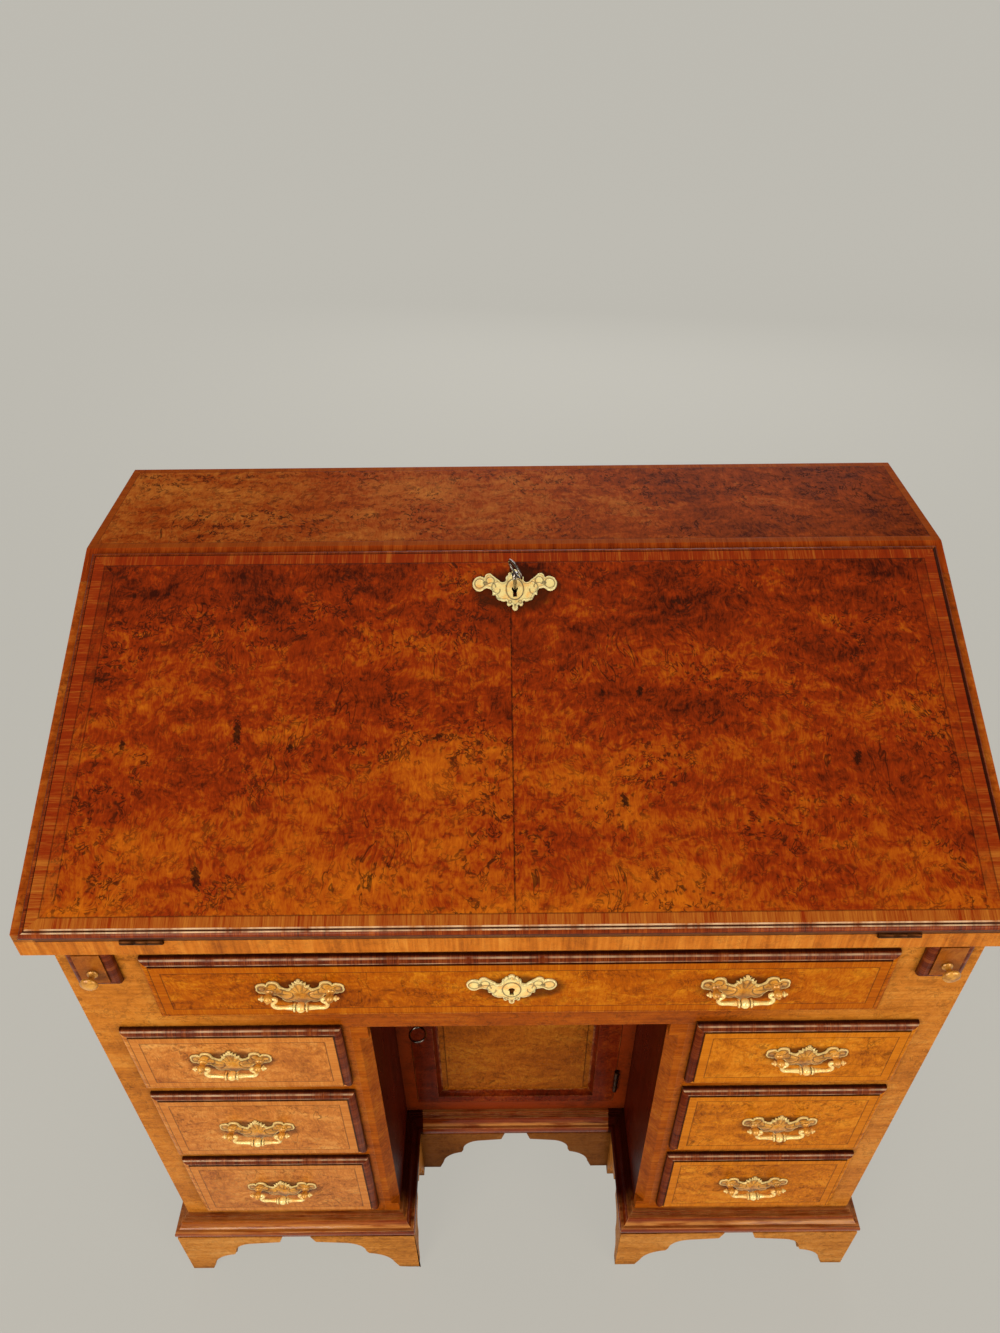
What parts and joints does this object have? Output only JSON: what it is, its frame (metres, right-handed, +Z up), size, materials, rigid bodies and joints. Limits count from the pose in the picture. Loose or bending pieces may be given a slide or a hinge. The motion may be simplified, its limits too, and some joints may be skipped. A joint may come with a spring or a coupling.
{
  "type": "escritoire",
  "caption": "Kneehole writing desk with a sloping fall front over a long drawer, side drawers and a recessed cupboard, on bracket feet.",
  "frame": {"origin": "on the floor, under the middle of the desk's whole width and depth", "axes": "+Z up, the front with its drawers faces -Y, +X to the right seen from the front"},
  "size_m": [0.904, 0.5378, 0.9867],
  "materials": {
    "walnut_case": "satin",
    "walnut_top": "satin",
    "walnut_frame": "satin",
    "walnut_dark": "satin",
    "walnut_moulding": "gloss",
    "walnut_feet": "satin",
    "walnut_lining": "satin",
    "walnut_burr_fall": "gloss",
    "walnut_burr_drawer": "gloss",
    "walnut_burr_door": "satin",
    "oak_lining": "matt",
    "brass_bright": "polished",
    "brass_hinge": "aged",
    "steel_key": "worn"
  },
  "bodies": {
    "carcase": {"outer_sides": "walnut_case", "kneehole_sides": "walnut_dark", "back_boards": "oak_lining", "face_frame": "walnut_frame", "dust_boards": "oak_lining", "base_moulding": "walnut_moulding", "bracket_feet": "walnut_feet", "writing_bed": "walnut_case", "upper_sides": "walnut_case", "top_board": "walnut_top", "pigeonholes": "walnut_lining", "carcase_hinge_leaves": "brass_hinge"},
    "fall": {"fall_panel": "walnut_burr_fall", "fall_lip": "walnut_moulding", "fall_escutcheon": "brass_bright", "fall_lock_case": "brass_hinge", "fall_hinge_leaves": "brass_hinge"},
    "fall_key": {"fall_key": "steel_key"},
    "fall_lock_bolt": {"fall_lock_bolt": "brass_hinge"},
    "door": {"door_frame": "walnut_dark", "door_panel": "walnut_burr_door", "door_lock_case": "brass_hinge", "door_hinge_leaves": "brass_hinge"},
    "door_key": {"door_key": "steel_key"},
    "door_lock_bolt": {"door_lock_bolt": "brass_hinge"},
    "left_loper": {"left_loper": "walnut_frame", "left_loper_knob": "brass_bright"},
    "right_loper": {"right_loper": "walnut_frame", "right_loper_knob": "brass_bright"},
    "long_drawer": {"long_drawer_front": "walnut_burr_drawer", "long_drawer_box": "oak_lining", "long_drawer_brasses": "brass_bright", "long_drawer_lock_case": "brass_hinge"},
    "long_drawer_left_bail": {"long_drawer_left_bail": "brass_bright"},
    "long_drawer_right_bail": {"long_drawer_right_bail": "brass_bright"},
    "long_drawer_lock_bolt": {"long_drawer_lock_bolt": "brass_hinge"},
    "left_top_drawer": {"left_top_drawer_front": "walnut_burr_drawer", "left_top_drawer_box": "oak_lining", "left_top_drawer_handle": "brass_bright"},
    "left_top_drawer_bail": {"left_top_drawer_bail": "brass_bright"},
    "left_middle_drawer": {"left_middle_drawer_front": "walnut_burr_drawer", "left_middle_drawer_box": "oak_lining", "left_middle_drawer_handle": "brass_bright"},
    "left_middle_drawer_bail": {"left_middle_drawer_bail": "brass_bright"},
    "left_bottom_drawer": {"left_bottom_drawer_front": "walnut_burr_drawer", "left_bottom_drawer_box": "oak_lining", "left_bottom_drawer_handle": "brass_bright"},
    "left_bottom_drawer_bail": {"left_bottom_drawer_bail": "brass_bright"},
    "right_top_drawer": {"right_top_drawer_front": "walnut_burr_drawer", "right_top_drawer_box": "oak_lining", "right_top_drawer_handle": "brass_bright"},
    "right_top_drawer_bail": {"right_top_drawer_bail": "brass_bright"},
    "right_middle_drawer": {"right_middle_drawer_front": "walnut_burr_drawer", "right_middle_drawer_box": "oak_lining", "right_middle_drawer_handle": "brass_bright"},
    "right_middle_drawer_bail": {"right_middle_drawer_bail": "brass_bright"},
    "right_bottom_drawer": {"right_bottom_drawer_front": "walnut_burr_drawer", "right_bottom_drawer_box": "oak_lining", "right_bottom_drawer_handle": "brass_bright"},
    "right_bottom_drawer_bail": {"right_bottom_drawer_bail": "brass_bright"}
  },
  "joints": [
    {"name": "fall_hinge", "type": "hinge", "parent": "carcase", "child": "fall", "pos_m": [0, -0.2621, 0.7695], "axis": [1, 0, 0], "range_deg": [0, 153.8]},
    {"name": "fall_key_turn", "type": "hinge", "parent": "fall", "child": "fall_key", "pos_m": [0, 0.04378, 0.92001], "axis": [0, -0.4415, 0.8973], "range_deg": [0, 360]},
    {"name": "fall_bolt_throw", "type": "slide", "parent": "fall", "child": "fall_lock_bolt", "axis": [0, 0.8973, 0.4415], "range_m": [0, 0.006]},
    {"name": "door_hinge", "type": "hinge", "parent": "carcase", "child": "door", "pos_m": [0.1367, -0.1151, 0.368], "axis": [0, 0, 1], "range_deg": [0, 90]},
    {"name": "door_key_turn", "type": "hinge", "parent": "door", "child": "door_key", "pos_m": [-0.1214, -0.1121, 0.4015], "axis": [0, -1, 0], "range_deg": [0, 360]},
    {"name": "door_bolt_throw", "type": "slide", "parent": "door", "child": "door_lock_bolt", "axis": [-1, 0, 0], "range_m": [0, 0.006]},
    {"name": "left_loper_slide", "type": "slide", "parent": "carcase", "child": "left_loper", "axis": [0, -1, 0], "range_m": [0, 0.28]},
    {"name": "right_loper_slide", "type": "slide", "parent": "carcase", "child": "right_loper", "axis": [0, -1, 0], "range_m": [0, 0.28]},
    {"name": "long_drawer_slide", "type": "slide", "parent": "carcase", "child": "long_drawer", "axis": [0, -1, 0], "range_m": [0, 0.3]},
    {"name": "long_drawer_bolt_throw", "type": "slide", "parent": "long_drawer", "child": "long_drawer_lock_bolt", "axis": [0, 0, 1], "range_m": [0, 0.006]},
    {"name": "left_bottom_drawer_slide", "type": "slide", "parent": "carcase", "child": "left_bottom_drawer", "axis": [0, -1, 0], "range_m": [0, 0.3]},
    {"name": "left_middle_drawer_slide", "type": "slide", "parent": "carcase", "child": "left_middle_drawer", "axis": [0, -1, 0], "range_m": [0, 0.3]},
    {"name": "left_top_drawer_slide", "type": "slide", "parent": "carcase", "child": "left_top_drawer", "axis": [0, -1, 0], "range_m": [0, 0.3]},
    {"name": "right_bottom_drawer_slide", "type": "slide", "parent": "carcase", "child": "right_bottom_drawer", "axis": [0, -1, 0], "range_m": [0, 0.3]},
    {"name": "right_middle_drawer_slide", "type": "slide", "parent": "carcase", "child": "right_middle_drawer", "axis": [0, -1, 0], "range_m": [0, 0.3]},
    {"name": "right_top_drawer_slide", "type": "slide", "parent": "carcase", "child": "right_top_drawer", "axis": [0, -1, 0], "range_m": [0, 0.3]},
    {"name": "long_drawer_left_bail_swing", "type": "hinge", "parent": "long_drawer", "child": "long_drawer_left_bail", "pos_m": [-0.209, -0.2644, 0.679], "axis": [-1, 0, 0], "range_deg": [0, 90]},
    {"name": "long_drawer_right_bail_swing", "type": "hinge", "parent": "long_drawer", "child": "long_drawer_right_bail", "pos_m": [0.215, -0.2644, 0.679], "axis": [-1, 0, 0], "range_deg": [0, 90]},
    {"name": "left_bottom_drawer_bail_swing", "type": "hinge", "parent": "left_bottom_drawer", "child": "left_bottom_drawer_bail", "pos_m": [-0.2925, -0.2644, 0.2415], "axis": [-1, 0, 0], "range_deg": [0, 90]},
    {"name": "left_middle_drawer_bail_swing", "type": "hinge", "parent": "left_middle_drawer", "child": "left_middle_drawer_bail", "pos_m": [-0.297, -0.2644, 0.3995], "axis": [-1, 0, 0], "range_deg": [0, 90]},
    {"name": "left_top_drawer_bail_swing", "type": "hinge", "parent": "left_top_drawer", "child": "left_top_drawer_bail", "pos_m": [-0.2985, -0.2644, 0.5505], "axis": [-1, 0, 0], "range_deg": [0, 90]},
    {"name": "right_bottom_drawer_bail_swing", "type": "hinge", "parent": "right_bottom_drawer", "child": "right_bottom_drawer_bail", "pos_m": [0.2925, -0.2644, 0.2415], "axis": [-1, 0, 0], "range_deg": [0, 90]},
    {"name": "right_middle_drawer_bail_swing", "type": "hinge", "parent": "right_middle_drawer", "child": "right_middle_drawer_bail", "pos_m": [0.297, -0.2644, 0.3995], "axis": [-1, 0, 0], "range_deg": [0, 90]},
    {"name": "right_top_drawer_bail_swing", "type": "hinge", "parent": "right_top_drawer", "child": "right_top_drawer_bail", "pos_m": [0.2985, -0.2644, 0.5505], "axis": [-1, 0, 0], "range_deg": [0, 90]}
  ],
  "couplings": [
    {"joint": "fall_bolt_throw", "follows": "fall_key_turn", "m_per_rad": 0.0009549},
    {"joint": "door_bolt_throw", "follows": "door_key_turn", "m_per_rad": 0.0009549}
  ]
}
